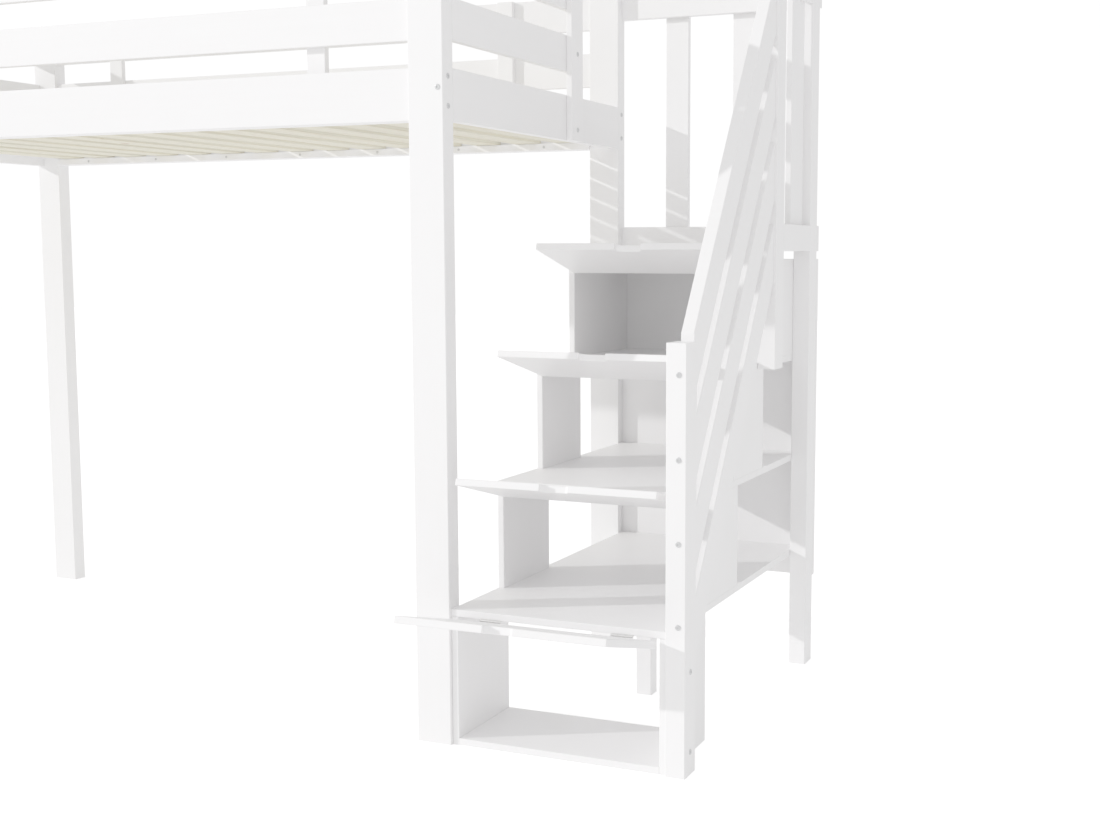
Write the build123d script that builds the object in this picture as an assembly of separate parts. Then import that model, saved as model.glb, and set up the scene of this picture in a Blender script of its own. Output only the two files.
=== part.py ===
from build123d import *
import math
import os

# A high sleeper bed of painted timber with a storage staircase at its right end.
# X runs along the bed, Y from front to back, Z up, in millimetres.
# The origin is the middle of the front right post's foot, where the stairs meet the bed.
# The four box doors are modelled standing open, as they are shown.

# Bed frame
BED_LENGTH = 2060.0
BED_DEPTH = 1003.0
POST_WIDTH = 85.0
POST_DEPTH = 45.0
POST_HEIGHT = 1800.0
RAIL_THICKNESS = 25.0
RAIL_HEIGHT = 112.0
RAIL_DROP = 428.0
EDGE_EASE = 1.5

# Slatted base
LEDGER_WIDTH = 20.0
LEDGER_HEIGHT = 20.0
SLAT_WIDTH = 72.0
SLAT_THICKNESS = 18.0
SLAT_PITCH = 126.0
SLAT_END_GAP = 1.5

# Guard boards round the mattress
GUARD_THICKNESS = 18.0
GUARD_BOARD_HEIGHT = 90.0
GUARD_DROP = 16.0
GUARD_GAP = 62.0
UPRIGHT_THICKNESS = 16.0
SIDE_UPRIGHT_WIDTH = 48.0
SIDE_UPRIGHT_INSET = 317.0
UPRIGHT_LIFT = 2.0
ENTRY_UPRIGHT_WIDTH = 67.0
ENTRY_WIDTH = 268.0

# Staircase of four boxes, set back one behind the other
STAIR_WIDTH = 508.5
BOARD_THICKNESS = 16.0
BOX_SETBACK = 8.0
STEP_GOING_1 = 224.0
STEP_GOING_2 = 211.0
STEP_GOING_3 = 190.0
BOX_HEIGHT_1 = 276.0
BOX_HEIGHT_2 = 238.0
BOX_HEIGHT_3 = 248.0
BOX_HEIGHT_4 = 232.0
BOX_DEPTH_1 = 245.0
BOX_DEPTH_2 = 245.0
BOX_DEPTH_3 = 227.0
BACK_THICKNESS = 18.0
BACK_DROP = 62.0
LEG_SIDE = 40.0
LEG_OFFSET = 236.0
LEG_BACK = 503.0

# Stair posts and the slanted handrail boards
STAIR_POST_WIDTH = 44.5
STAIR_POST_DEPTH = 64.0
NEWEL_HEIGHT = 909.0
HANDRAIL_RUN = 555.0
HANDRAIL_WIDTH = 78.0
HANDRAIL_THICKNESS = 19.5
TOP_HANDRAIL_THICKNESS = 29.5
HANDRAIL_RECESS = 6.5
HANDRAIL_LIFT = 17.5
HANDRAIL_HEAD_DROP = 60.0
HANDRAIL_PITCH = 194.0
HANDRAIL_BOARDS = 4

# Guard round the landing at the top of the stairs
LANDING_RAIL_THICKNESS = 18.0
LANDING_RAIL_HEIGHT = 66.0
LANDING_RAIL_LIFT = 20.0
LANDING_BOARD_THICKNESS = 16.0
LANDING_BOARD_WIDTH = 107.0
LANDING_BOARD_INSET = 15.0
REAR_BOARD_WIDTH = 65.0
REAR_BOARD_OFFSET = 122.0
REAR_BOARD_PITCH = 190.0

# Box doors, each hung from the board above it and held open by friction in its hinges
DOOR_OPEN = 105.0
DOOR_SIDE_GAP = 3.0
DOOR_FOOT_GAP = 2.0
NOTCH_WIDTH = 65.0
NOTCH_DEPTH = 20.0
NOTCH_RADIUS = 14.0
HINGE_LENGTH = 50.0
HINGE_INSET = 55.0
HINGE_LEAF_WIDTH = 14.0
HINGE_LEAF_THICKNESS = 1.0
HINGE_LEAF_GAP = 0.3
HINGE_KNUCKLE_RADIUS = 3.0
HINGE_KNUCKLE_LENGTH = 17.0
HINGE_PIN_RADIUS = 1.5
HINGE_RUNNING_GAP = 0.05
HINGE_SIDE_GAP = 0.4
HINGE_CLEARANCE = 0.3

# Connector bolts and their barrel nuts
BOLT_RADIUS = 3.0
SHANK_SIDES = 8
BOLT_HEAD_RADIUS = 6.0
BOLT_HEAD_THICKNESS = 1.6
BOLT_BORE_GAP = 0.4
BOLT_TIP_GAP = 2.0
BOLT_GRIP = 44.0
SHORT_BOLT_GRIP = 28.0
PANEL_BOLT_GRIP = 12.0
RAIL_BOLT_LOW = 30.0
RAIL_BOLT_HIGH = 93.0
END_RAIL_BOLT = 68.0
ENTRY_BOLT_LIFT = 27.0
NEWEL_BOLT_DROP = 82.5
NEWEL_BOLT_RISE = 20.0
HEAD_BOLT_DROP = 82.0
NEWEL_FOOT_BOLT = 50.0
NEWEL_SIDE_BOLT = 222.0
NUT_RADIUS = 5.0
NUT_LENGTH = 14.0
NUT_DISTANCE = 34.0
NUT_BORE_GAP = 0.2

# Planes that the pieces share; the rails and guard boards hang down from the posts' heads
RIGHT = POST_WIDTH / 2
LEFT = RIGHT - BED_LENGTH
FRONT = -POST_DEPTH / 2
REAR = FRONT + BED_DEPTH
RAIL_BOTTOM = POST_HEIGHT - RAIL_DROP
RAIL_TOP = RAIL_BOTTOM + RAIL_HEIGHT
RAIL_SETBACK = (POST_DEPTH - RAIL_THICKNESS) / 2
FRONT_RAIL_Y = (FRONT + RAIL_SETBACK, FRONT + RAIL_SETBACK + RAIL_THICKNESS)
REAR_RAIL_Y = (REAR - RAIL_SETBACK - RAIL_THICKNESS, REAR - RAIL_SETBACK)
BETWEEN_POSTS_X = (LEFT + POST_WIDTH, RIGHT - POST_WIDTH)
BETWEEN_POSTS_Y = (FRONT + POST_DEPTH, REAR - POST_DEPTH)
SLAT_BOTTOM = RAIL_BOTTOM + LEDGER_HEIGHT
SLAT_TOP = SLAT_BOTTOM + SLAT_THICKNESS
GUARD_TOP = POST_HEIGHT - GUARD_DROP
UPPER_GUARD_BOTTOM = GUARD_TOP - GUARD_BOARD_HEIGHT
GUARD_BOTTOM = UPPER_GUARD_BOTTOM - GUARD_GAP - GUARD_BOARD_HEIGHT
ENTRY_UPRIGHT_Y = (
    REAR - POST_DEPTH - ENTRY_WIDTH - ENTRY_UPRIGHT_WIDTH,
    REAR - POST_DEPTH - ENTRY_WIDTH,
)

STAIR_RIGHT = RIGHT + STAIR_WIDTH
STAIR_POST_X = (STAIR_RIGHT, STAIR_RIGHT + STAIR_POST_WIDTH)
BACK_Y = (REAR - BACK_THICKNESS, REAR)
INSIDE_X = (RIGHT + BOARD_THICKNESS, STAIR_RIGHT - BOARD_THICKNESS)
NEWEL_Y = (FRONT, FRONT + STAIR_POST_DEPTH)
LANDING_FRONT_POST_Y = (NEWEL_Y[1] + HANDRAIL_RUN, NEWEL_Y[1] + HANDRAIL_RUN + STAIR_POST_DEPTH)
LANDING_REAR_POST_Y = (BACK_Y[0] - STAIR_POST_DEPTH, BACK_Y[0])
HANDRAIL_RIGHT = STAIR_POST_X[1] - HANDRAIL_RECESS
HANDRAIL_TOP = NEWEL_HEIGHT + HANDRAIL_LIFT
HANDRAIL_RISE = POST_HEIGHT - HANDRAIL_HEAD_DROP - HANDRAIL_TOP
HANDRAIL_LENGTH = math.hypot(HANDRAIL_RUN, HANDRAIL_RISE)
HANDRAIL_CUT = HANDRAIL_WIDTH * HANDRAIL_LENGTH / HANDRAIL_RUN
HANDRAIL_BOLT_X = HANDRAIL_RIGHT - HANDRAIL_THICKNESS / 2


def box_levels():
    """Floor and ceiling heights of the four boxes, from the lowest up."""
    levels = []
    floor = BOARD_THICKNESS
    for height in (BOX_HEIGHT_1, BOX_HEIGHT_2, BOX_HEIGHT_3, BOX_HEIGHT_4):
        levels.append((floor, floor + height))
        floor += height + BOARD_THICKNESS
    return levels


def box_sides():
    """Front and back of the side panels of the four boxes, from the lowest up."""
    front_1 = FRONT + BOX_SETBACK
    front_2 = front_1 + STEP_GOING_1
    front_3 = front_2 + STEP_GOING_2
    front_4 = front_3 + STEP_GOING_3
    return [
        (front_1, front_1 + BOX_DEPTH_1),
        (front_2, front_2 + BOX_DEPTH_2),
        (front_3, front_3 + BOX_DEPTH_3),
        (front_4, BACK_Y[0]),
    ]


LEVELS = box_levels()
SIDES = box_sides()
LANDING_TOP = LEVELS[3][1] + BOARD_THICKNESS
BACK_Z = (LEVELS[0][1] - BACK_DROP, LANDING_TOP)
LANDING_RAIL_BOTTOM = LANDING_TOP + LANDING_RAIL_LIFT


def block(x, y, z):
    """A plain block between three pairs of planes."""
    low, high = zip(x, y, z)
    middle = [(a + b) / 2 for a, b in zip(low, high)]
    size = [b - a for a, b in zip(low, high)]
    return Pos(*middle) * Box(*size)


def board(x, y, z, grain):
    """A planed board whose long edges, those along the grain, are eased."""
    timber = block(x, y, z)
    return chamfer(timber.edges().filter_by(grain), EDGE_EASE)


def rod(start, way, length, radius):
    """A round bar from a point, along a unit direction."""
    return Plane(origin=start, z_dir=way) * Pos(0, 0, length / 2) * Cylinder(radius, length)


def bar(start, way, length, radius):
    """A hidden shank or bore, drawn with flat sides to keep what repeats light."""
    outline = RegularPolygon(radius, SHANK_SIDES)
    return Plane(origin=start, z_dir=way) * extrude(outline, length)


def along(point, way, distance):
    """The point that lies a distance from another, along a unit direction."""
    return tuple(p + w * distance for p, w in zip(point, way))


class Bolt:
    """A connector bolt: the middle of its head's seat, the way it goes in, and its length."""

    def __init__(self, seat, way, length, nut_way=None, nut_face=None):
        self.seat = seat
        self.way = way
        self.length = length
        self.nut_way = nut_way
        self.nut_face = nut_face

    def solid(self):
        outwards = tuple(-w for w in self.way)
        head = rod(self.seat, outwards, BOLT_HEAD_THICKNESS, BOLT_HEAD_RADIUS)
        return head + bar(self.seat, self.way, self.length, BOLT_RADIUS)

    def bore(self):
        return bar(self.seat, self.way, self.length + BOLT_TIP_GAP, BOLT_RADIUS + BOLT_BORE_GAP)

    def nut_mouth(self):
        """Where the nut's own bore opens, on the inner face of the rail."""
        crossing = along(self.seat, self.way, self.length - BOLT_GRIP + NUT_DISTANCE)
        return tuple(f if abs(w) > 0.5 else c
                     for c, w, f in zip(crossing, self.nut_way, self.nut_face))

    def nut_bore(self):
        depth = RAIL_THICKNESS / 2 + NUT_LENGTH / 2
        return bar(self.nut_mouth(), self.nut_way, depth, NUT_RADIUS + NUT_BORE_GAP)

    def nut(self):
        start = along(self.nut_mouth(), self.nut_way, RAIL_THICKNESS / 2 - NUT_LENGTH / 2)
        return bar(start, self.nut_way, NUT_LENGTH, NUT_RADIUS) - self.bore()


def bored(piece, bolts):
    """The piece with the bores of its bolts, and of their nuts where it holds any."""
    for bolt in bolts:
        piece -= bolt.bore()
    return piece


def nut_bored(piece, bolts):
    """The rail with the cross bores that hold its barrel nuts."""
    for bolt in bolts:
        piece -= bolt.nut_bore()
    return bored(piece, bolts)


# Bolts of the bed frame, by the post that they go through
def side_rail_bolts(right, front):
    """Two bolts through a post's outer face into the end of a side rail."""
    x = RIGHT if right else LEFT
    y = FRONT + POST_DEPTH / 2 if front else REAR - POST_DEPTH / 2
    way = (-1, 0, 0) if right else (1, 0, 0)
    inner = FRONT_RAIL_Y[1] if front else REAR_RAIL_Y[0]
    nut_way = (0, -1, 0) if front else (0, 1, 0)
    return [
        Bolt((x, y, RAIL_BOTTOM + height), way, POST_WIDTH + BOLT_GRIP, nut_way, (x, inner, 0))
        for height in (RAIL_BOLT_LOW, RAIL_BOLT_HIGH)
    ]


def end_rail_bolt(right, front):
    """One bolt through a post's front or rear face into the end of an end rail."""
    x = RIGHT - RAIL_THICKNESS / 2 if right else LEFT + RAIL_THICKNESS / 2
    y = FRONT if front else REAR
    way = (0, 1, 0) if front else (0, -1, 0)
    inner = RIGHT - RAIL_THICKNESS if right else LEFT + RAIL_THICKNESS
    nut_way = (1, 0, 0) if right else (-1, 0, 0)
    seat = (x, y, RAIL_BOTTOM + END_RAIL_BOLT)
    return [Bolt(seat, way, POST_DEPTH + BOLT_GRIP, nut_way, (inner, y, 0))]


def guard_levels():
    """Bottoms of the lower and the upper guard boards."""
    return (GUARD_BOTTOM, UPPER_GUARD_BOTTOM)


def entry_bolts():
    """Bolts through the entry upright into the end rail and the end guard boards."""
    middle = sum(ENTRY_UPRIGHT_Y) / 2
    heights = [RAIL_BOTTOM + ENTRY_BOLT_LIFT]
    heights += [bottom + GUARD_BOARD_HEIGHT / 2 for bottom in guard_levels()]
    seats = [(RIGHT + UPRIGHT_THICKNESS, middle, height) for height in heights]
    return [Bolt(seat, (-1, 0, 0), UPRIGHT_THICKNESS + PANEL_BOLT_GRIP) for seat in seats]


def handrail_top(number):
    """Height of a handrail board's upper edge where it meets the newel, 0 for the top one."""
    return HANDRAIL_TOP - HANDRAIL_PITCH * number


def newel_bolts():
    """Bolts from the newel's front into the foot of each handrail board."""
    heights = [handrail_top(i) - NEWEL_BOLT_DROP + NEWEL_BOLT_RISE * i for i in range(HANDRAIL_BOARDS)]
    length = STAIR_POST_DEPTH + SHORT_BOLT_GRIP
    return [Bolt((HANDRAIL_BOLT_X, NEWEL_Y[0], height), (0, 1, 0), length) for height in heights]


def landing_post_bolts():
    """Bolts from the rear of the landing's front post into the head of each handrail board."""
    heights = [handrail_top(i) + HANDRAIL_RISE - HEAD_BOLT_DROP for i in range(HANDRAIL_BOARDS)]
    length = STAIR_POST_DEPTH + SHORT_BOLT_GRIP
    seat_y = LANDING_FRONT_POST_Y[1]
    return [Bolt((HANDRAIL_BOLT_X, seat_y, height), (0, -1, 0), length) for height in heights]


def newel_side_bolts():
    """Bolts from the newel's outer face into the lowest box."""
    middle = sum(NEWEL_Y) / 2
    return [
        Bolt((STAIR_POST_X[1], middle, height), (-1, 0, 0), STAIR_POST_WIDTH + PANEL_BOLT_GRIP)
        for height in (NEWEL_FOOT_BOLT, NEWEL_SIDE_BOLT)
    ]


# Bed frame pieces
def post(x, y, z, bolts):
    """A square-cut post with its long edges and its head eased."""
    timber = block(x, y, z)
    head = timber.faces().sort_by(Axis.Z)[-1].edges()
    timber = chamfer(timber.edges().filter_by(Axis.Z) + head, EDGE_EASE)
    return bored(timber, bolts)


def bed_post(right, front):
    x = (RIGHT - POST_WIDTH, RIGHT) if right else (LEFT, LEFT + POST_WIDTH)
    y = (FRONT, FRONT + POST_DEPTH) if front else (REAR - POST_DEPTH, REAR)
    bolts = side_rail_bolts(right, front) + end_rail_bolt(right, front)
    return post(x, y, (0, POST_HEIGHT), bolts)


def side_rail(front):
    y = FRONT_RAIL_Y if front else REAR_RAIL_Y
    timber = board(BETWEEN_POSTS_X, y, (RAIL_BOTTOM, RAIL_TOP), Axis.X)
    return nut_bored(timber, side_rail_bolts(True, front) + side_rail_bolts(False, front))


def end_rail(right):
    x = (RIGHT - RAIL_THICKNESS, RIGHT) if right else (LEFT, LEFT + RAIL_THICKNESS)
    timber = board(x, BETWEEN_POSTS_Y, (RAIL_BOTTOM, RAIL_TOP), Axis.Y)
    timber = nut_bored(timber, end_rail_bolt(right, True) + end_rail_bolt(right, False))
    return bored(timber, entry_bolts()[:1]) if right else timber


def ledger(front):
    """The strip along the inside of a side rail that the slats lie on."""
    inner = FRONT_RAIL_Y[1] if front else REAR_RAIL_Y[0] - LEDGER_WIDTH
    return board(BETWEEN_POSTS_X, (inner, inner + LEDGER_WIDTH), (RAIL_BOTTOM, SLAT_BOTTOM), Axis.X)


def slats():
    """The loose slats, evenly spaced about the middle of the bed."""
    room = BETWEEN_POSTS_X[1] - BETWEEN_POSTS_X[0]
    count = int((room - SLAT_WIDTH) // SLAT_PITCH) + 1
    first = sum(BETWEEN_POSTS_X) / 2 - SLAT_PITCH * (count - 1) / 2
    y = (FRONT_RAIL_Y[1] + SLAT_END_GAP, REAR_RAIL_Y[0] - SLAT_END_GAP)
    pieces = []
    for i in range(count):
        middle = first + SLAT_PITCH * i
        x = (middle - SLAT_WIDTH / 2, middle + SLAT_WIDTH / 2)
        pieces.append(board(x, y, (SLAT_BOTTOM, SLAT_TOP), Axis.Y))
    return pieces


# Guards of the bed
def side_guard(front, bottom):
    y = (FRONT_RAIL_Y[1] - GUARD_THICKNESS, FRONT_RAIL_Y[1])
    if not front:
        y = (REAR_RAIL_Y[0], REAR_RAIL_Y[0] + GUARD_THICKNESS)
    return board(BETWEEN_POSTS_X, y, (bottom, bottom + GUARD_BOARD_HEIGHT), Axis.X)


def left_guard(bottom):
    x = (LEFT, LEFT + GUARD_THICKNESS)
    return board(x, BETWEEN_POSTS_Y, (bottom, bottom + GUARD_BOARD_HEIGHT), Axis.Y)


def right_guard(bottom, number):
    """A guard board that stops at the entry upright and leaves the way in open."""
    x = (RIGHT - GUARD_THICKNESS, RIGHT)
    y = (BETWEEN_POSTS_Y[0], ENTRY_UPRIGHT_Y[1])
    timber = board(x, y, (bottom, bottom + GUARD_BOARD_HEIGHT), Axis.Y)
    return bored(timber, [entry_bolts()[number + 1]])


def side_uprights(front):
    """The pair of uprights on the inner face of a side rail and its guard boards."""
    y = (FRONT_RAIL_Y[1], FRONT_RAIL_Y[1] + UPRIGHT_THICKNESS)
    if not front:
        y = (REAR_RAIL_Y[0] - UPRIGHT_THICKNESS, REAR_RAIL_Y[0])
    near_right = RIGHT - SIDE_UPRIGHT_INSET - SIDE_UPRIGHT_WIDTH
    near_left = LEFT + SIDE_UPRIGHT_INSET
    z = (SLAT_TOP + UPRIGHT_LIFT, GUARD_TOP)
    return [board((low, low + SIDE_UPRIGHT_WIDTH), y, z, Axis.Z) for low in (near_left, near_right)]


def entry_upright():
    """The upright on the outer face of the right end rail, beside the way in."""
    x = (RIGHT, RIGHT + UPRIGHT_THICKNESS)
    return bored(board(x, ENTRY_UPRIGHT_Y, (RAIL_BOTTOM, GUARD_TOP), Axis.Z), entry_bolts())


# Staircase
def side_panel(right, number):
    """A side panel of one box; it stands on the board below and carries the one above."""
    x = (INSIDE_X[1], STAIR_RIGHT) if right else (RIGHT, INSIDE_X[0])
    floor, ceiling = LEVELS[number]
    bottom = 0 if number == 0 else floor
    timber = board(x, SIDES[number], (bottom, ceiling), Axis.Z)
    return bored(timber, newel_side_bolts()) if right and number == 0 else timber


def bottom_board():
    """The floor of the lowest box, between its side panels."""
    return board(INSIDE_X, SIDES[0], (0, BOARD_THICKNESS), Axis.X)


def tread(number):
    """A full-width board: the ceiling of one box, the step in front and the floor of the next."""
    front = SIDES[number][0]
    ceiling = LEVELS[number][1]
    y = (front, BACK_Y[0])
    return board((RIGHT, STAIR_RIGHT), y, (ceiling, ceiling + BOARD_THICKNESS), Axis.X)


def back_panel():
    """The panel behind the three upper boxes, from the bed's post to the landing's rear post."""
    return board((RIGHT, STAIR_POST_X[1]), BACK_Y, BACK_Z, Axis.X)


def centre_leg():
    """The leg under the lowest tread, behind the lowest box."""
    x = (RIGHT + LEG_OFFSET, RIGHT + LEG_OFFSET + LEG_SIDE)
    y = (SIDES[0][0] + LEG_BACK, SIDES[0][0] + LEG_BACK + LEG_SIDE)
    return board(x, y, (0, LEVELS[0][1]), Axis.Z)


# Stair posts, handrail and landing guard
def newel_post():
    return post(STAIR_POST_X, NEWEL_Y, (0, NEWEL_HEIGHT), newel_bolts() + newel_side_bolts())


def landing_front_post():
    """The post at the head of the handrail; it stands against the top box and a tread."""
    z = (LEVELS[2][1], POST_HEIGHT)
    return post(STAIR_POST_X, LANDING_FRONT_POST_Y, z, landing_post_bolts())


def landing_rear_post():
    return post(STAIR_POST_X, LANDING_REAR_POST_Y, (0, POST_HEIGHT), [])


def handrail_board(number):
    """A slanted board, cut plumb at both ends to sit between the newel and the landing post."""
    thickness = TOP_HANDRAIL_THICKNESS if number == 0 else HANDRAIL_THICKNESS
    top = handrail_top(number)
    start, end = NEWEL_Y[1], LANDING_FRONT_POST_Y[0]
    corners = [
        (start, top - HANDRAIL_CUT),
        (end, top - HANDRAIL_CUT + HANDRAIL_RISE),
        (end, top + HANDRAIL_RISE),
        (start, top),
    ]
    outline = Plane.YZ.offset(HANDRAIL_RIGHT - thickness) * make_face(Polyline(*corners, close=True))
    timber = extrude(outline, thickness)
    long_edges = timber.edges().filter_by(lambda edge: abs(edge.length - HANDRAIL_LENGTH) < EDGE_EASE)
    timber = chamfer(long_edges, EDGE_EASE)
    return bored(timber, [newel_bolts()[number], landing_post_bolts()[number]])


def landing_rail_levels():
    """Bottoms of the lower and the upper rails round the landing."""
    return (LANDING_RAIL_BOTTOM, GUARD_TOP - LANDING_RAIL_HEIGHT)


def landing_rails_right():
    x = (STAIR_POST_X[1] - LANDING_RAIL_THICKNESS, STAIR_POST_X[1])
    y = (LANDING_FRONT_POST_Y[1], LANDING_REAR_POST_Y[0])
    return [board(x, y, (z, z + LANDING_RAIL_HEIGHT), Axis.Y) for z in landing_rail_levels()]


def landing_rails_rear():
    x = (RIGHT, STAIR_POST_X[1])
    y = (BACK_Y[0], BACK_Y[0] + LANDING_RAIL_THICKNESS)
    return [board(x, y, (z, z + LANDING_RAIL_HEIGHT), Axis.X) for z in landing_rail_levels()]


def landing_board_right():
    """The upright board inside the right landing rails."""
    outer = STAIR_POST_X[1] - LANDING_RAIL_THICKNESS
    rear = LANDING_REAR_POST_Y[0] - LANDING_BOARD_INSET
    x = (outer - LANDING_BOARD_THICKNESS, outer)
    return board(x, (rear - LANDING_BOARD_WIDTH, rear), (LANDING_RAIL_BOTTOM, GUARD_TOP), Axis.Z)


def landing_boards_rear():
    """The pair of upright boards behind the rear landing rails."""
    front = BACK_Y[0] + LANDING_RAIL_THICKNESS
    y = (front, front + LANDING_BOARD_THICKNESS)
    lows = [RIGHT + REAR_BOARD_OFFSET + REAR_BOARD_PITCH * i for i in range(2)]
    z = (LANDING_RAIL_BOTTOM, GUARD_TOP)
    return [board((low, low + REAR_BOARD_WIDTH), y, z, Axis.Z) for low in lows]


# Doors. A door and its hinges are drawn shut, about the pin: X along the pin, Y to the back.
LEAF_LIFT = HINGE_LEAF_GAP / 2
DOOR_HEAD = LEAF_LIFT + HINGE_LEAF_THICKNESS
PIN_OFFSET = HINGE_KNUCKLE_RADIUS + HINGE_CLEARANCE
DOOR_X = (INSIDE_X[0] + DOOR_SIDE_GAP, INSIDE_X[1] - DOOR_SIDE_GAP)


def pin_place(number):
    """Where the hinge pins of a door lie: just proud of the box, under the board above."""
    return Pos(0, SIDES[number][0] - PIN_OFFSET, LEVELS[number][1] - DOOR_HEAD)


def opened(piece):
    """A piece of a shut door, turned up about the pin to where the door stands open."""
    return Rot(-DOOR_OPEN, 0, 0) * piece


def door(number):
    """A box door with a finger notch in the middle of its free edge."""
    floor, ceiling = LEVELS[number]
    foot = -(ceiling - floor) + DOOR_HEAD + DOOR_FOOT_GAP
    y = (PIN_OFFSET, PIN_OFFSET + BOARD_THICKNESS)
    panel = board(DOOR_X, y, (foot, -DOOR_HEAD), Axis.X)
    outline = RectangleRounded(NOTCH_WIDTH, NOTCH_DEPTH * 2, NOTCH_RADIUS)
    middle = Pos(sum(DOOR_X) / 2, y[0], foot) * Rot(-90, 0, 0)
    panel -= middle * extrude(outline, BOARD_THICKNESS)
    return pin_place(number) * opened(panel)


def tube_part(x, radius):
    """A round bar about the pin, between two planes across it."""
    return rod((x[0], 0, 0), (1, 0, 0), x[1] - x[0], radius)


def knuckle_spans(middle):
    """The middle knuckle and the two beside it, along the pin."""
    half = HINGE_KNUCKLE_LENGTH / 2
    end = HINGE_LENGTH / 2
    inner = (middle - half, middle + half)
    left = (middle - end, inner[0] - HINGE_SIDE_GAP)
    right = (inner[1] + HINGE_SIDE_GAP, middle + end)
    return inner, left, right


def leaf(middle, side, kept, left_out):
    """One hinge leaf: a plate with its own knuckles, cut clear of the other leaf's."""
    z = sorted((side * LEAF_LIFT, side * DOOR_HEAD))
    x = (middle - HINGE_LENGTH / 2, middle + HINGE_LENGTH / 2)
    plate = block(x, (0, PIN_OFFSET + HINGE_LEAF_WIDTH), z)
    for span in left_out:
        room = (span[0] - HINGE_SIDE_GAP, span[1] + HINGE_SIDE_GAP)
        plate -= block(room, (-PIN_OFFSET, PIN_OFFSET), z)
    for span in kept:
        plate += tube_part(span, HINGE_KNUCKLE_RADIUS)
    return plate - tube_part(x, HINGE_PIN_RADIUS + HINGE_RUNNING_GAP)


def hinge_middles():
    """Where the two hinges of a door lie along its upper edge."""
    inset = HINGE_INSET + HINGE_LENGTH / 2
    return (DOOR_X[0] + inset, DOOR_X[1] - inset)


def board_leaves(number):
    """The fixed leaves, on the underside of the board above the door."""
    leaves = []
    for middle in hinge_middles():
        inner, left, right = knuckle_spans(middle)
        leaves.append(pin_place(number) * leaf(middle, 1, (left, right), (inner,)))
    return leaves


def door_leaves(number):
    """The moving leaves, on the upper edge of the door."""
    leaves = []
    for middle in hinge_middles():
        inner, left, right = knuckle_spans(middle)
        leaves.append(pin_place(number) * opened(leaf(middle, -1, (inner,), (left, right))))
    return leaves


def hinge_pins(number):
    ends = [(middle - HINGE_LENGTH / 2, middle + HINGE_LENGTH / 2) for middle in hinge_middles()]
    return [pin_place(number) * tube_part(span, HINGE_PIN_RADIUS) for span in ends]


# Fasteners
def nutted_bolts():
    corners = [(right, front) for right in (True, False) for front in (True, False)]
    bolts = []
    for right, front in corners:
        bolts += side_rail_bolts(right, front) + end_rail_bolt(right, front)
    return bolts


def all_bolts():
    stairs = newel_bolts() + newel_side_bolts() + landing_post_bolts()
    return nutted_bolts() + entry_bolts() + stairs


def nodes():
    """Every node by name, as one solid or a list of like solids."""
    parts = {
        "post_front_right": bed_post(True, True),
        "post_rear_right": bed_post(True, False),
        "post_front_left": bed_post(False, True),
        "post_rear_left": bed_post(False, False),
        "side_rail_front": side_rail(True),
        "side_rail_rear": side_rail(False),
        "end_rail_right": end_rail(True),
        "end_rail_left": end_rail(False),
        "slat_ledger_front": ledger(True),
        "slat_ledger_rear": ledger(False),
        "bed_slats": slats(),
        "guard_uprights_front": side_uprights(True),
        "guard_uprights_rear": side_uprights(False),
        "guard_upright_entry": entry_upright(),
    }
    for number, (name, bottom) in enumerate(zip(("lower", "upper"), guard_levels())):
        parts[f"guard_front_{name}"] = side_guard(True, bottom)
        parts[f"guard_rear_{name}"] = side_guard(False, bottom)
        parts[f"guard_left_{name}"] = left_guard(bottom)
        parts[f"guard_right_{name}"] = right_guard(bottom, number)
    for number in range(len(LEVELS)):
        name = number + 1
        parts[f"box_side_left_{name}"] = side_panel(False, number)
        parts[f"box_side_right_{name}"] = side_panel(True, number)
        parts[f"door_{name}"] = door(number)
        parts[f"door_{name}_hinge_leaves"] = door_leaves(number)
    parts["box_floor_1"] = bottom_board()
    parts["tread_1"] = tread(0)
    parts["tread_2"] = tread(1)
    parts["tread_3"] = tread(2)
    parts["landing_board"] = tread(3)
    parts["stair_back_panel"] = back_panel()
    parts["stair_leg"] = centre_leg()
    parts["newel_post"] = newel_post()
    parts["landing_post_front"] = landing_front_post()
    parts["landing_post_rear"] = landing_rear_post()
    for number in range(HANDRAIL_BOARDS):
        parts[f"handrail_board_{number + 1}"] = handrail_board(number)
    parts["landing_rails_right"] = landing_rails_right()
    parts["landing_rails_rear"] = landing_rails_rear()
    parts["landing_upright_right"] = landing_board_right()
    parts["landing_uprights_rear"] = landing_boards_rear()
    parts["hinge_board_leaves"] = sum((board_leaves(i) for i in range(len(LEVELS))), [])
    parts["hinge_pins"] = sum((hinge_pins(i) for i in range(len(LEVELS))), [])
    parts["connector_bolts"] = [bolt.solid() for bolt in all_bolts()]
    parts["barrel_nuts"] = [bolt.nut() for bolt in nutted_bolts()]
    return parts


def as_one(piece):
    """One shape to write: a solid as it is, or a group of separate solids."""
    if isinstance(piece, list):
        return Compound(children=[solid for item in piece for solid in item.solids()])
    return piece


os.makedirs("parts", exist_ok=True)
for node, piece in nodes().items():
    export_step(as_one(piece), f"parts/{node}.step")
print(len(os.listdir("parts")), "nodes")
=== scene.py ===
import math

import bmesh
import bpy
from mathutils import Matrix, Vector


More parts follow.
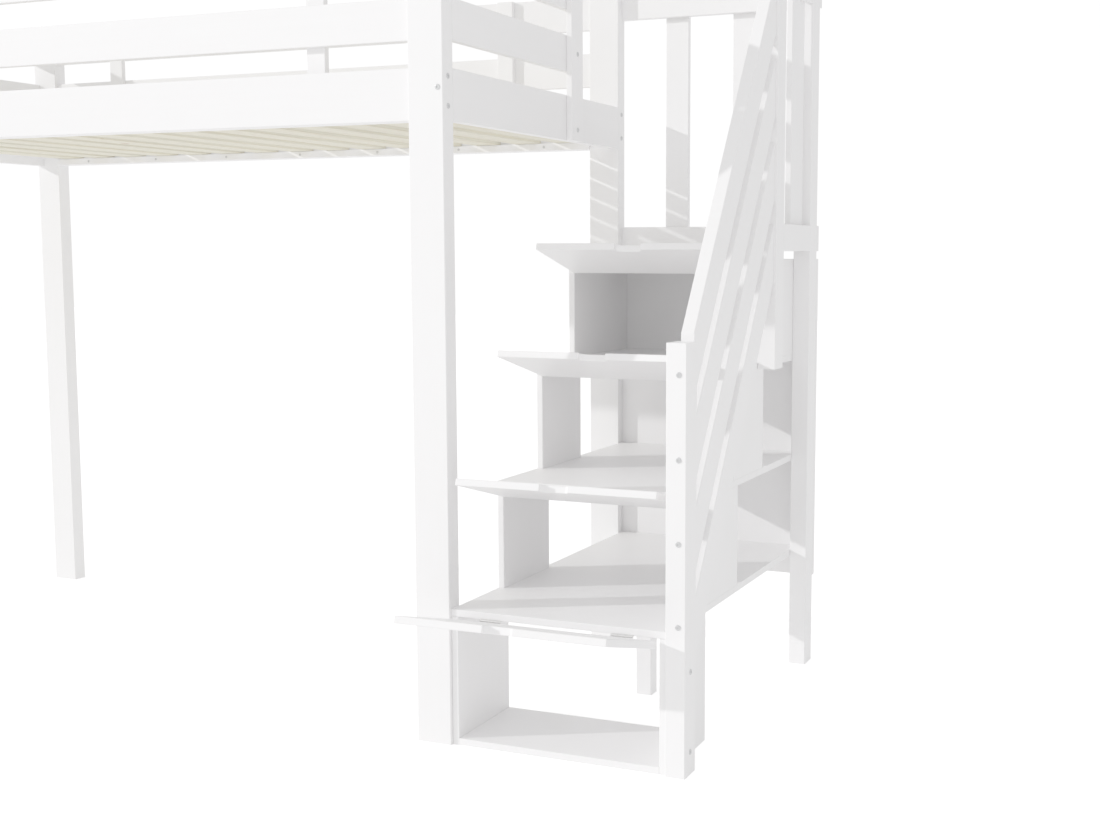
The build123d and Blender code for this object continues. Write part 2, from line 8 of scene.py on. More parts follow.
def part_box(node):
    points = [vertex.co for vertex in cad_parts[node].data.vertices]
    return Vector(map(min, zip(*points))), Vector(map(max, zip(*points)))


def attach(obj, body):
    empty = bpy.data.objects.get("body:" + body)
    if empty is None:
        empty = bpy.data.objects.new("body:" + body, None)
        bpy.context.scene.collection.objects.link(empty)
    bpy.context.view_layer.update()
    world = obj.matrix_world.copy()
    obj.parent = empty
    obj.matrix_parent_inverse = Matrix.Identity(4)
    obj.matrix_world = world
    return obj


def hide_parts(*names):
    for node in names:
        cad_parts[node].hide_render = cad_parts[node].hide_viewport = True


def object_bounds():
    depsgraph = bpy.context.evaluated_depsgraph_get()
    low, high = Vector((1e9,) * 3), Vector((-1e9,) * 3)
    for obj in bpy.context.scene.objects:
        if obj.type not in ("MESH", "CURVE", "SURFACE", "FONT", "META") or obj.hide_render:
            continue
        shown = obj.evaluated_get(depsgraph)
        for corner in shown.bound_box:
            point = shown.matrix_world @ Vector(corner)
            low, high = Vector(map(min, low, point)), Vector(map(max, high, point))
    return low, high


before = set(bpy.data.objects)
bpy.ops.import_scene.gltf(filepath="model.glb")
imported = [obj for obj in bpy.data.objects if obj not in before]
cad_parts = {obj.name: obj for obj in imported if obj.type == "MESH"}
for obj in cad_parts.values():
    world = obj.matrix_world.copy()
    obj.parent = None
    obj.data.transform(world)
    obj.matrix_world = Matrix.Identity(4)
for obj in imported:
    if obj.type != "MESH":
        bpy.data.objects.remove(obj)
CAD_BOX = [list(corner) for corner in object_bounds()]

bl_info = {
    "name": "Loft bed with storage stairs",
    "version": (1, 0, 0),
    "blender": (4, 5, 0),
    "location": "3D View > Sidebar > Loft bed",
    "description": "Models a loft bed's boards, slats, doors and fittings, with their finishes",
    "category": "Object",
}

# Which way each board's grain runs
POSTS = ("post_front_right", "post_rear_right", "post_front_left", "post_rear_left")
STAIR_POSTS = ("newel_post", "landing_post_front", "landing_post_rear")
SIDE_RAILS = ("side_rail_front", "side_rail_rear")
END_RAILS = ("end_rail_right", "end_rail_left")
LEDGERS = ("slat_ledger_front", "slat_ledger_rear")
LONG_GUARDS = ("guard_front_lower", "guard_front_upper", "guard_rear_lower", "guard_rear_upper")
END_GUARDS = ("guard_left_lower", "guard_left_upper", "guard_right_lower", "guard_right_upper")
GUARD_UPRIGHTS = ("guard_uprights_front", "guard_uprights_rear", "guard_upright_entry")
BOX_SIDES = tuple(f"box_side_{side}_{i}" for i in range(1, 5) for side in ("left", "right"))
TREADS = ("tread_1", "tread_2", "tread_3", "landing_board")
STAIR_BOARDS = ("box_floor_1", "stair_back_panel")
HANDRAILS = tuple(f"handrail_board_{i}" for i in range(1, 5))
LANDING_UPRIGHTS = ("landing_upright_right", "landing_uprights_rear")

# Shading and edges
SMOOTH_ANGLE = math.radians(40)
BEVEL_ANGLE = math.radians(50)
EASED_SHARE = 0.6
TOUCH = 1e-5
NEARBY = 0.001
CUT_PAST = 0.001
ROUND_STEPS = 32

# Doors and hinges, in metres, about the hinge pin
DOOR_OPEN = math.radians(105)
DOOR_FOOT_GAP = 0.002
PIN_OFFSET = 0.0033
DOOR_HEAD = 0.00115
LEAF_LIFT = 0.00015
NOTCH = (0.065, 0.020, 0.014)
NOTCH_STEPS = 8
HINGE_LENGTH = 0.050
KNUCKLE_LENGTH = 0.017
KNUCKLE_GAP = 0.0004
KNUCKLE_RADIUS = 0.003
PIN_RADIUS = 0.0015
LEAF_WIDTH = 0.014
LEAF_CORNER = 0.002
PIN_DOME = 0.0006
PIN_ROOM = 0.00005
HINGE_SCREWS = ((-0.017, 0.0125), (0, 0.0085), (0.017, 0.0125))
HINGE_SCREW_SIZE = (0.0019, 0.0005)
HINGE_SINK_SIZE = (0.0021, 0.0008)
HINGE_SCREW_SEAT = 0.0006

# Bolts, nuts and wood screws, in metres
SCREW_STEPS = 20
WOOD_SCREW_THICKNESS = 0.0006
BOLT_HEAD_THICKNESS = 0.0016
BOLT_HEAD_ROUNDING = 0.0008
BOLT_SOCKET_LENGTH = 0.0022
BOLT_SHANK = (0.003, 0.02)
NUT_ROUNDING = 0.0005
NUT_SLOT = (0.006, 0.0006, 0.0014)
NUT_ROOM = 0.0004

# The photograph's camera
CAMERA_PLACE = (1.6001, -2.7613, 1.0900)
CAMERA_PITCH = 6.19
CAMERA_YAW = 22.7
CAMERA_LENS = 47.4545
CAMERA_SHIFT = (-0.06545, -0.0018)

# The light, low from the front left, over an even soft fill
SUN_WAY = (1.0, 0.555, -0.42)
SUN_STRENGTH = 1.5
SUN_ANGLE = math.radians(0.8)
AIR_STRENGTH = 0.60
WALL_STRENGTH = 1.02
FLOOR_GLOW = 0.20
FLOOR_SEEN_GLOW = 0.55
SOFT_BOX_PLACE = (0.8, -3.2, 3.4)
SOFT_BOX_AIM = (0.3, 0.3, 0.7)
SOFT_BOX_POWER = 13.0
SOFT_BOX_SIZE = 2.0
DISPLAY_GAMMA = 1.6


class LoftBedSizes(bpy.types.PropertyGroup):
    edge_radius: bpy.props.FloatProperty(
        name="Edge radius", description="Rounding of the boards' long edges",
        default=0.002, min=0.0005, max=0.006, unit="LENGTH")
    end_radius: bpy.props.FloatProperty(
        name="End radius", description="Sanding of the boards' sawn ends",
        default=0.0006, min=0.0002, max=0.003, unit="LENGTH")
    bolt_head_radius: bpy.props.FloatProperty(
        name="Bolt head radius", description="Radius of the connector bolts' flat heads",
        default=0.006, min=0.004, max=0.009, unit="LENGTH")
    bolt_socket_radius: bpy.props.FloatProperty(
        name="Bolt socket radius", description="Radius of the six-sided socket, across its corners",
        default=0.0027, min=0.001, max=0.004, unit="LENGTH")
    screw_head_radius: bpy.props.FloatProperty(
        name="Screw head radius", description="Radius of the wood screws' heads",
        default=0.0038, min=0.002, max=0.006, unit="LENGTH")
    ledger_screw_spacing: bpy.props.FloatProperty(
        name="Ledger screw spacing", description="Distance between the screws that hold a ledger",
        default=0.24, min=0.1, max=0.6, unit="LENGTH")


class LoftBedColours(bpy.types.PropertyGroup):
    paint: bpy.props.FloatVectorProperty(
        name="Paint", description="White satin paint of the boards",
        subtype="COLOR", size=3, default=(0.89, 0.882, 0.886), min=0, max=1)
    paint_shade: bpy.props.FloatVectorProperty(
        name="Paint shade", description="The slightly warmer white where the paint is thin",
        subtype="COLOR", size=3, default=(0.86, 0.85, 0.847), min=0, max=1)
    pine: bpy.props.FloatVectorProperty(
        name="Pine", description="Early wood of the bare pine slats",
        subtype="COLOR", size=3, default=(0.72, 0.69, 0.56), min=0, max=1)
    pine_ring: bpy.props.FloatVectorProperty(
        name="Pine ring", description="Late wood between the year rings",
        subtype="COLOR", size=3, default=(0.63, 0.56, 0.39), min=0, max=1)
    pine_knot: bpy.props.FloatVectorProperty(
        name="Pine knot", description="Knots in the pine",
        subtype="COLOR", size=3, default=(0.36, 0.20, 0.10), min=0, max=1)
    zinc: bpy.props.FloatVectorProperty(
        name="Zinc", description="Zinc plating of the bolts, nuts and screws",
        subtype="COLOR", size=3, default=(0.68, 0.685, 0.69), min=0, max=1)
    hinge_steel: bpy.props.FloatVectorProperty(
        name="Hinge steel", description="Nickel-plated steel of the hinges",
        subtype="COLOR", size=3, default=(0.88, 0.875, 0.86), min=0, max=1)
    floor: bpy.props.FloatVectorProperty(
        name="Floor", description="The pale studio floor",
        subtype="COLOR", size=3, default=(0.90, 0.90, 0.90), min=0, max=1)


# Finishes
class Wire:
    """An output socket that takes part in shader maths."""

    def __init__(self, finish, socket):
        self.finish = finish
        self.socket = socket

    def maths(self, operation, *values, clamp=False):
        settings = {"operation": operation, "use_clamp": clamp}
        return self.finish.node("ShaderNodeMath", settings, dict(enumerate(values)))

    def __add__(self, other):
        return self.maths("ADD", self, other)

    def __radd__(self, other):
        return self.maths("ADD", other, self)

    def __sub__(self, other):
        return self.maths("SUBTRACT", self, other)

    def __rsub__(self, other):
        return self.maths("SUBTRACT", other, self)

    def __mul__(self, other):
        return self.maths("MULTIPLY", self, other)

    def __rmul__(self, other):
        return self.maths("MULTIPLY", other, self)


class Finish:
    """A material whose nodes are laid out in code."""

    def __init__(self, name):
        self.material = bpy.data.materials.new(name)
        self.material.use_nodes = True
        self.tree = self.material.node_tree
        self.shader = self.tree.nodes["Principled BSDF"]

    def node(self, kind, settings=None, inputs=None, output=0):
        """Add a node, make its settings, give its inputs their values or links, return an output."""
        node = self.tree.nodes.new(kind)
        for name, value in (settings or {}).items():
            setattr(node, name, value)
        for name, value in (inputs or {}).items():
            self.give(node.inputs[name], value)
        return Wire(self, node.outputs[output])

    def give(self, socket, value):
        if isinstance(value, Wire):
            self.tree.links.new(value.socket, socket)
        else:
            socket.default_value = value

    def surface(self, **inputs):
        for name, value in inputs.items():
            self.give(self.shader.inputs[name.replace("_", " ")], value)

    def place(self):
        return self.node("ShaderNodeTexCoord", output="Object")

    def turned(self, vector, turn):
        return self.node("ShaderNodeMapping", None, {"Vector": vector, "Rotation": turn})

    def stretched(self, vector, scale):
        return self.node("ShaderNodeVectorMath", {"operation": "MULTIPLY"}, {0: vector, 1: scale})

    def noise(self, vector, scale, detail=2, roughness=0.5):
        values = {"Vector": vector, "Scale": scale, "Detail": detail, "Roughness": roughness}
        return self.node("ShaderNodeTexNoise", None, values)

    def between(self, value, low, high):
        """0 below low, 1 above high, and a straight slope between them."""
        values = {"Value": value, "From Min": low, "From Max": high, "To Min": 0.0, "To Max": 1.0}
        return self.node("ShaderNodeMapRange", {"clamp": True}, values)

    def mixed(self, factor, first, second):
        return self.node("ShaderNodeMix", {"data_type": "RGBA"}, {0: factor, 6: first, 7: second}, 2)

    def bump(self, height, strength, distance, under=None):
        values = {"Height": height, "Strength": strength, "Distance": distance}
        if under:
            values["Normal"] = under
        return self.node("ShaderNodeBump", None, values)


def rgba(colour):
    return (*colour, 1.0)


GRAIN_TURNS = {
    "x": (0.0, 0.0, 0.0),
    "y": (0.0, 0.0, math.radians(90)),
    "z": (0.0, math.radians(90), 0.0),
}


def white_paint(name, turn):
    """Satin paint over timber: a faint figure along the grain, a fine stipple and rubbed edges."""
    colours = bpy.context.scene.loft_bed_colours
    finish = Finish(name)
    along = finish.turned(finish.place(), turn)
    figure = finish.noise(finish.stretched(along, (3.0, 70.0, 70.0)), 1.0, 6, 0.62)
    pores = finish.noise(finish.stretched(along, (30.0, 900.0, 900.0)), 1.0, 2, 0.6)
    clouds = finish.noise(along, 5.0, 3, 0.6)
    stipple = finish.noise(along, 1400.0, 1, 0.5)
    eased = finish.node("ShaderNodeAttribute", {"attribute_name": "eased"}, None, "Fac")
    rubbed = eased * finish.between(finish.noise(along, 60.0, 4, 0.7), 0.48, 0.75)
    thin = finish.between(clouds * 0.6 + figure * 0.4, 0.40, 0.68)
    tone = finish.mixed(thin * 0.45 + rubbed * 0.5, rgba(colours.paint), rgba(colours.paint_shade))
    relief = finish.bump(figure, 0.16, 0.0012)
    relief = finish.bump(pores, 0.10, 0.0003, relief)
    relief = finish.bump(stipple, 0.07, 0.0002, relief)
    finish.surface(Base_Color=tone, Roughness=0.36 + clouds * 0.14 - rubbed * 0.08, Normal=relief)
    finish.surface(Specular_IOR_Level=0.45)
    return finish.material


def bare_pine(pitch):
    """Planed pine whose year rings and knots differ from slat to slat."""
    colours = bpy.context.scene.loft_bed_colours
    finish = Finish("pale pine")
    place = finish.place()
    across = finish.node("ShaderNodeSeparateXYZ", None, {0: place})
    slat = across.maths("FLOOR", across * (1 / pitch))
    chance = finish.node("ShaderNodeTexWhiteNoise", {"noise_dimensions": "1D"}, {"W": slat}, "Value")
    shift = finish.node("ShaderNodeCombineXYZ", None, {0: chance * 0.3, 1: chance * 7.0, 2: chance * 0.11})
    own = finish.node("ShaderNodeVectorMath", {"operation": "ADD"}, {0: place, 1: shift})
    swept = finish.stretched(own, (1.0, 0.045, 1.0))
    wobble = finish.noise(swept, 14.0, 3, 0.5)
    drift = finish.node("ShaderNodeCombineXYZ", None, {0: wobble * 0.06, 2: wobble * 0.05})
    bent = finish.node("ShaderNodeVectorMath", {"operation": "ADD"}, {0: swept, 1: drift})
    rings = finish.node(
        "ShaderNodeTexWave",
        {"wave_type": "RINGS", "rings_direction": "Y", "wave_profile": "SAW"},
        {"Vector": bent, "Scale": 46.0, "Distortion": 1.5, "Detail": 2.0, "Detail Scale": 1.4},
        "Fac")
    fibres = finish.noise(finish.stretched(own, (900.0, 14.0, 900.0)), 1.0, 3, 0.6)
    spots = finish.node(
        "ShaderNodeTexVoronoi", None,
        {"Vector": finish.stretched(own, (1.0, 0.55, 1.0)), "Scale": 7.5, "Randomness": 1.0},
        "Distance")
    knot = 1 - finish.between(spots, 0.055, 0.085)
    late = finish.between(rings, 0.55, 1.0)
    tone = finish.mixed(late * 0.75 + fibres * 0.12, rgba(colours.pine), rgba(colours.pine_ring))
    tone = finish.mixed(knot * 0.8, tone, rgba(colours.pine_knot))
    relief = finish.bump(late, 0.12, 0.0004)
    relief = finish.bump(fibres, 0.18, 0.0003, relief)
    finish.surface(Base_Color=tone, Roughness=0.62 - late * 0.12, Normal=relief)
    return finish.material


def plated_steel(name, colour, roughness, scratches):
    """Plated steel with fine handling marks."""
    finish = Finish(name)
    place = finish.place()
    mottle = finish.noise(place, 260.0, 3, 0.6)
    marks = finish.noise(finish.stretched(place, (2600.0, 340.0, 2600.0)), 1.0, 2, 0.6)
    tone = finish.mixed(mottle, rgba(colour), rgba([channel * 0.82 for channel in colour]))
    relief = finish.bump(marks, scratches, 0.0001)
    finish.surface(Base_Color=tone, Roughness=roughness + mottle * 0.14 + marks * 0.06, Normal=relief)
    finish.surface(Metallic=1.0)
    return finish.material


def studio_floor():
    """A pale floor that glows more to the camera than on the bed, so it looks white."""
    finish = Finish("studio floor")
    cloud = finish.noise(finish.place(), 1.4, 3, 0.5)
    colour = bpy.context.scene.loft_bed_colours.floor
    tone = finish.mixed(cloud * 0.3, rgba(colour), rgba([channel * 0.97 for channel in colour]))
    finish.surface(Base_Color=tone, Roughness=0.85 - cloud * 0.1)
    seen = finish.node("ShaderNodeLightPath", output="Is Camera Ray")
    glow = seen * (FLOOR_SEEN_GLOW - FLOOR_GLOW) + FLOOR_GLOW
    finish.surface(Emission_Color=rgba(colour), Emission_Strength=glow)
    return finish.material


def finish_for(name, maker, *values):
    """The material of that name, made once."""
    return bpy.data.materials.get(name) or maker(name, *values)


def paint_along(grain):
    return finish_for(f"white satin paint, grain along {grain}", white_paint, GRAIN_TURNS[grain])


def zinc():
    colour = bpy.context.scene.loft_bed_colours.zinc
    return finish_for("zinc plated steel", plated_steel, colour, 0.30, 0.10)


def hinge_steel():
    colour = bpy.context.scene.loft_bed_colours.hinge_steel
    return finish_for("nickel plated hinge steel", plated_steel, colour, 0.24, 0.12)


# Modelling
def work_on(piece):
    """Make this the only selected object, in object mode."""
    if bpy.context.mode != "OBJECT":
        bpy.ops.object.mode_set(mode="OBJECT")
    bpy.ops.object.select_all(action="DESELECT")
    if piece:
        piece.select_set(True)
        bpy.context.view_layer.objects.active = piece


def settle(piece):
    """Put the piece's place, turn and size into its mesh."""
    work_on(piece)
    bpy.ops.object.transform_apply(location=True, rotation=True, scale=True)
    return piece


def block(low, high):
    """A block between two corners."""
    low, high = Vector(low), Vector(high)
    work_on(None)
    bpy.ops.mesh.primitive_cube_add(size=1, location=(low + high) / 2)
    piece = bpy.context.active_object
    piece.scale = high - low
    return settle(piece)


def cylinder(middle, axis, radius, length, sides=ROUND_STEPS):
    """A round or many-sided bar about a point, along an axis."""
    work_on(None)
    turn = Vector(axis).to_track_quat("Z", "Y").to_euler()
    bpy.ops.mesh.primitive_cylinder_add(
        vertices=sides, radius=radius, depth=length, location=middle, rotation=turn)
    return settle(bpy.context.active_object)


def select(piece, kind, test):
    """Go to edit mode with only those edges or faces selected that pass the test."""
    work_on(piece)
    bpy.ops.object.mode_set(mode="EDIT")
    bpy.ops.mesh.select_mode(type=kind)
    bpy.ops.mesh.select_all(action="DESELECT")
    shape = bmesh.from_edit_mesh(piece.data)
    for item in shape.edges if kind == "EDGE" else shape.faces:
        item.select_set(bool(test(item)))
    bmesh.update_edit_mesh(piece.data)


def bevel(radius, steps):
    """Round the selected edges and go back to object mode."""
    bpy.ops.mesh.bevel(offset=radius, segments=steps, affect="EDGES")
    bpy.ops.object.mode_set(mode="OBJECT")


def modified(piece, kind, **settings):
    """Add a modifier to the piece and apply it."""
    work_on(piece)
    modifier = piece.modifiers.new(kind.lower(), kind)
    for name, value in settings.items():
        setattr(modifier, name, value)
    bpy.ops.object.modifier_apply(modifier=modifier.name)
    return piece


def combined(piece, other, operation):
    """The piece with another added to it or cut from it."""
    modified(piece, "BOOLEAN", operation=operation, object=other, solver="EXACT")
    bpy.data.objects.remove(other)
    return piece


def smooth(piece):
    """Smooth shading that keeps the flat faces flat."""
    work_on(piece)
    bpy.ops.object.shade_smooth_by_angle(angle=SMOOTH_ANGLE)
    return modified(piece, "WEIGHTED_NORMAL", weight=100, keep_sharp=True)


def mark_eased(piece, radius):
    """Mark the narrow faces along the edges, where the paint is rubbed first."""
    mesh = piece.data
    lengths = {edge.key: (mesh.vertices[edge.vertices[0]].co - mesh.vertices[edge.vertices[1]].co).length
               for edge in mesh.edges}
    marks = [float(min(lengths[key] for key in face.edge_keys) < radius) for face in mesh.polygons]
    mesh.attributes.new("eased", "FLOAT", "FACE").data.foreach_set("value", marks)


def copy_at(piece, matrix):
    """A copy with its own mesh, moved by the matrix."""
    copy = piece.copy()
    copy.data = piece.data.copy()
    copy.data.transform(matrix)
    bpy.context.scene.collection.objects.link(copy)
    return copy


def joined(pieces):
    """One object from several."""
    work_on(pieces[0])
    for piece in pieces:
        piece.select_set(True)
    if len(pieces) > 1:
        bpy.ops.object.join()
    return bpy.context.active_object


def kept(piece, name, material, slot, body, *nodes):
    """Name and dress a finished piece, which stands for these nodes and rides on that body."""
    piece.name = name
    piece.data.name = name
    piece.data.materials.clear()
    piece.data.materials.append(material)
    if nodes:
        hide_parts(*nodes)
    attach(piece, body)
    return piece


def solids_of(node):
    """The vertices of each separate solid of a node, from low x to high x."""
    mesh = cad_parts[node].data
    places = [tuple(round(c, 6) for c in v.co) for v in mesh.vertices]
    group = {place: place for place in places}

    def root(place):
        while group[place] != place:
            group[place] = group[group[place]]
            place = group[place]
        return place

    for a, b in (edge.vertices for edge in mesh.edges):
        group[root(places[a])] = root(places[b])
    solids = {}
    for place in group:
        solids.setdefault(root(place), []).append(Vector(place))
    return sorted(solids.values(), key=lambda points: sum((p.x for p in points)) / len(points))


def corners(points):
    """The lowest and highest corner of some points."""
    low = Vector([min(p[i] for p in points) for i in range(3)])
    high = Vector([max(p[i] for p in points) for i in range(3)])
    return low, high


def planed_board(low, high, grain):
    """A board with rounded long edges and lightly sanded ends."""
    sizes = bpy.context.scene.loft_bed_sizes
    axis = "xyz".index(grain)
    piece = block(low, high)
    length = high[axis] - low[axis]
    way = Vector(way_along(axis))
    select(piece, "EDGE", lambda edge: abs((edge.verts[0].co - edge.verts[1].co).dot(way)) > length / 2)
    bevel(sizes.edge_radius, 3)
    sand_ends(piece, axis, (low[axis], high[axis]))
    return piece


def sand_ends(piece, axis, ends):
    """Round the edges of a board's sawn ends, which lie across that axis."""
    select(piece, "EDGE", lambda edge: any(
        all(abs(vert.co[axis] - end) < TOUCH for vert in edge.verts) for end in ends))
    bevel(bpy.context.scene.loft_bed_sizes.end_radius, 2)


def painted(piece, node, paint, body="bed"):
    """Smooth a board and finish it in white paint."""
    smooth(piece)
    mark_eased(piece, bpy.context.scene.loft_bed_sizes.edge_radius * EASED_SHARE)
    return kept(piece, f"{node}_painted", paint, "white_paint", body, node)


def painted_boards(nodes, grain):
    """A painted board for each solid of these nodes."""
    for node in nodes:
        boards = [planed_board(*corners(points), grain) for points in solids_of(node)]
        painted(joined(boards), node, paint_along(grain))


def outward_ends(node):
    """Where each bolt's head or nut's face is, and the way it faces."""
    found = []
    for points in solids_of(node):
        low, high = corners(points)
        size = high - low
        axis = max(range(3), key=lambda i: size[i])
        middle = (low + high) / 2
        others = [i for i in range(3) if i != axis]
        reach = max(size[i] for i in others) / 2
        wide = [p[axis] for p in points
                if math.hypot(*(p[i] - middle[i] for i in others)) > reach - 0.0002]
        found.append((low, high, axis, 1 if sum(wide) / len(wide) > middle[axis] else -1))
    return found


def way_along(axis, side=1):
    return [side * float(i == axis) for i in range(3)]


def nut_way(low, high):
    """The axis of a barrel nut, and on which side of it the rail is open."""
    size, middle = high - low, (low + high) / 2
    axis = max(range(2), key=lambda i: size[i])
    if axis == 0:
        return axis, 1 if middle.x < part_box("bed_slats")[0].x else -1
    return axis, 1 if middle.y < (CAD_BOX[0][1] + CAD_BOX[1][1]) / 2 else -1


def facing(place, way):
    """The matrix that sets a fitting, modelled facing up at the origin, at a place."""
    return Matrix.Translation(place) @ Vector(way).to_track_quat("Z", "Y").to_matrix().to_4x4()


# Operators
class LOFTBED_OT_posts(bpy.types.Operator):
    """Model the bed's four posts and the three posts of the stairs"""
    bl_idname = "loft_bed.posts"
    bl_label = "Posts"

    def execute(self, context):
        painted_boards(POSTS + STAIR_POSTS, "z")
        return {"FINISHED"}


class LOFTBED_OT_rails(bpy.types.Operator):
    """Model the bed's side and end rails, with the bores of their barrel nuts"""
    bl_idname = "loft_bed.rails"
    bl_label = "Rails"

    def execute(self, context):
        nuts = [corners(points) for points in solids_of("barrel_nuts")]
        for nodes, grain in ((SIDE_RAILS, "x"), (END_RAILS, "y")):
            for node in nodes:
                low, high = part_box(node)
                piece = planed_board(low, high, grain)
                for nut_low, nut_high in nuts:
                    middle = (nut_low + nut_high) / 2
                    if all(low[i] < middle[i] < high[i] for i in range(3)):
                        combined(piece, self.bore(nut_low, nut_high, low, high), "DIFFERENCE")
                painted(piece, node, paint_along(grain))
        return {"FINISHED"}

    @staticmethod
    def bore(nut_low, nut_high, low, high):
        """The room of a nut, from its hidden end out through the rail's inner face."""
        axis, side = nut_way(nut_low, nut_high)
        mouth = (high[axis] if side > 0 else low[axis]) + side * 2 * CUT_PAST
        hidden = nut_low[axis] if side > 0 else nut_high[axis]
        place = (nut_low + nut_high) / 2
        place[axis] = (hidden + mouth) / 2
        radius = (nut_high.z - nut_low.z) / 2 + NUT_ROOM
        return cylinder(place, way_along(axis), radius, abs(mouth - hidden))


class LOFTBED_OT_slats(bpy.types.Operator):
    """Model the pine slats and the painted ledgers that carry them"""
    bl_idname = "loft_bed.slats"
    bl_label = "Slats"

    def execute(self, context):
        painted_boards(LEDGERS, "x")
        boxes = [corners(points) for points in solids_of("bed_slats")]
        low, high = boxes[0]
        first = planed_board(low, high, "y")
        smooth(first)
        places = [Matrix.Translation(box[0] - low) for box in boxes[1:]]
        piece = joined([first] + [copy_at(first, place) for place in places])
        pitch = boxes[1][0].x - low.x
        kept(piece, "bed_slats_pine", bare_pine(pitch), "pine", "bed", "bed_slats")
        return {"FINISHED"}


class LOFTBED_OT_guards(bpy.types.Operator):
    """Model the guard boards round the mattress and their uprights"""
    bl_idname = "loft_bed.guards"
    bl_label = "Guards"

    def execute(self, context):
        painted_boards(LONG_GUARDS, "x")
        painted_boards(END_GUARDS, "y")
        painted_boards(GUARD_UPRIGHTS, "z")
        return {"FINISHED"}


class LOFTBED_OT_stair_boxes(bpy.types.Operator):
    """Model the stairs' boxes: side panels, treads, floor, back panel and leg"""
    bl_idname = "loft_bed.stair_boxes"
    bl_label = "Stair boxes"

    def execute(self, context):
        painted_boards(BOX_SIDES + ("stair_leg",), "z")
        painted_boards(TREADS + STAIR_BOARDS, "x")
        return {"FINISHED"}


class LOFTBED_OT_handrail(bpy.types.Operator):
    """Model the slanted handrail boards, cut plumb at both ends"""
    bl_idname = "loft_bed.handrail"
    bl_label = "Handrail"

    def execute(self, context):
        sizes = context.scene.loft_bed_sizes
        for node in HANDRAILS:
            low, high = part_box(node)
            points = [p for solid in solids_of(node) for p in solid]
            foot = [p.z for p in points if p.y < low.y + 1e-4]
            cut = max(foot) - min(foot)
            rise = (high.z - low.z) - cut
            piece = block(low, (high.x, high.y, low.z + cut))
            select(piece, "FACE", lambda face: face.normal.y > 0.9)
            bpy.ops.transform.translate(value=(0, 0, rise))
            length = math.hypot(high.y - low.y, rise)
            select(piece, "EDGE", lambda edge: abs(edge.calc_length() - length) < 0.001)
            bevel(sizes.edge_radius, 3)
            sand_ends(piece, 1, (low.y, high.y))
            slope = math.atan2(rise, high.y - low.y)
            turn = (-slope, 0.0, 0.0)
            paint = finish_for("white satin paint, grain along the handrail", white_paint, turn)
            painted(piece, node, paint)
        return {"FINISHED"}


class LOFTBED_OT_landing_guard(bpy.types.Operator):
    """Model the rails and upright boards round the landing"""
    bl_idname = "loft_bed.landing_guard"
    bl_label = "Landing guard"

    def execute(self, context):
        painted_boards(("landing_rails_right",), "y")
        painted_boards(("landing_rails_rear",), "x")
        painted_boards(LANDING_UPRIGHTS, "z")
        return {"FINISHED"}


def door_pins(number):
    """The pins of one door's hinges, as the middle of each."""
    low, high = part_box(f"door_{number}_hinge_leaves")
    middles = [sum(corners(points), Vector()) / 2 for points in solids_of("hinge_pins")]
    return [middle for middle in middles
            if all(low[i] - NEARBY < middle[i] < high[i] + NEARBY for i in (1, 2))]


class LOFTBED_OT_doors(bpy.types.Operator):
    """Model the four lift-up doors with their finger notches"""
    bl_idname = "loft_bed.doors"
    bl_label = "Doors"

    def execute(self, context):
        sizes = context.scene.loft_bed_sizes
        for number in range(1, 5):
            node = f"door_{number}"
            left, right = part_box(node)[0].x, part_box(node)[1].x
            below = "box_floor_1" if number == 1 else f"tread_{number - 1}"
            pin = door_pins(number)[0]
            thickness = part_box("box_floor_1")[1].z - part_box("box_floor_1")[0].z
            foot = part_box(below)[1].z + DOOR_FOOT_GAP - pin.z
            face = PIN_OFFSET
            piece = block((left, face, foot), (right, face + thickness, -DOOR_HEAD))
            width, depth, radius = NOTCH
            middle = (left + right) / 2
            notch = block((middle - width / 2, face - depth, foot - depth),
                          (middle + width / 2, face + thickness + depth, foot + depth))
            select(notch, "EDGE", lambda edge: abs((edge.verts[0].co - edge.verts[1].co).y) > thickness)
            bevel(radius, NOTCH_STEPS)
            combined(piece, notch, "DIFFERENCE")
            modified(piece, "BEVEL", width=sizes.edge_radius, segments=3, limit_method="ANGLE",
                     angle_limit=BEVEL_ANGLE)
            piece.rotation_euler = (-DOOR_OPEN, 0, 0)
            piece.location = (0, pin.y, pin.z)
            painted(settle(piece), node, paint_along("x"), node)
        return {"FINISHED"}


